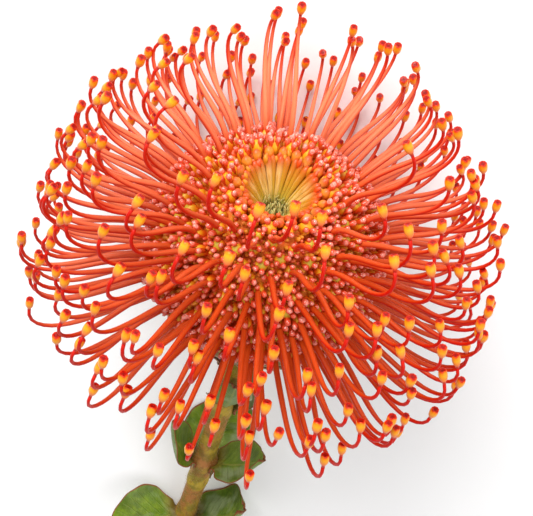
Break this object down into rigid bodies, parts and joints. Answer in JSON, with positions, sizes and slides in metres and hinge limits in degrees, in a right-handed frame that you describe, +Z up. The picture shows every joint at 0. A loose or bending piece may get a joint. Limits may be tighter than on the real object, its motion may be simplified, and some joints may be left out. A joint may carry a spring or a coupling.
{
  "type": "pincushion protea flower",
  "caption": "Cut pincushion protea flower lying on its side: round cushion of curled florets, long hooked styles, leafy stem.",
  "frame": {"origin": "on the surface it lies on, under the middle of the whole flower's box", "axes": "+Z up, +X along the stem towards the flower's face, +Y across the head"},
  "size_m": [0.176, 0.1071, 0.101],
  "materials": {
    "floret_orange": "waxy orange-red styles, pink and orange curled perianths",
    "bud_olive": "olive-yellow bud tubes with orange tops",
    "bract_wool": "short pale wool over brown-pink bracts",
    "stem_olive": "matt olive stalk, finely downy",
    "leaf_green": "leathery blue-green leaf with a red-brown edge"
  },
  "bodies": {
    "root": {"flower_head": "floret_orange", "central_buds": "bud_olive", "involucre": "bract_wool", "stem": "stem_olive", "leaf_1": "leaf_green", "leaf_2": "leaf_green", "leaf_3": "leaf_green", "leaf_4": "leaf_green", "leaf_5": "leaf_green", "leaf_6": "leaf_green", "leaf_7": "leaf_green", "leaf_8": "leaf_green", "leaf_9": "leaf_green"}
  },
  "joints": []
}
